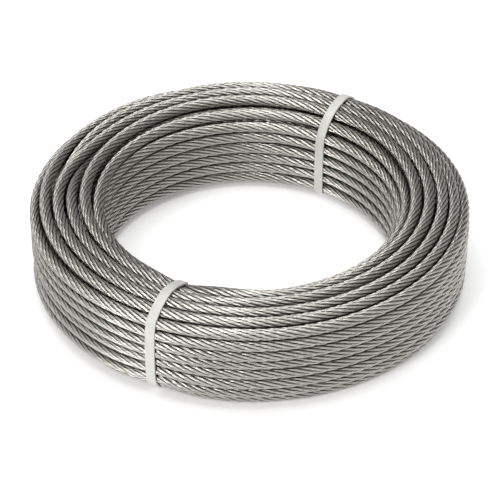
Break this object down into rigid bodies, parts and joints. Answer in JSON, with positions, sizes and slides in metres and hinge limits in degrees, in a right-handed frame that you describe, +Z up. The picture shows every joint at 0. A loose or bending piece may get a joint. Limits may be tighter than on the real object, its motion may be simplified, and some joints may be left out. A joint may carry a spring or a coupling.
{
  "type": "coil of wire rope",
  "caption": "Flat-lying hand coil of stranded steel wire rope with an open eye, held by two nylon cable ties.",
  "frame": {"origin": "on the floor, on the coil's axis", "axes": "+Z up along the coil's axis; the reference view looks from -Y, and the front tie is left of it"},
  "size_m": [0.212, 0.212, 0.0484],
  "materials": {
    "wire_rope": "bright drawn steel wire laid into strands, slightly warm grey",
    "tie": "natural nylon, satin"
  },
  "bodies": {
    "root": {"wire_rope_coil": "wire_rope", "cable_tie_front": "tie", "cable_tie_back": "tie"}
  },
  "joints": []
}
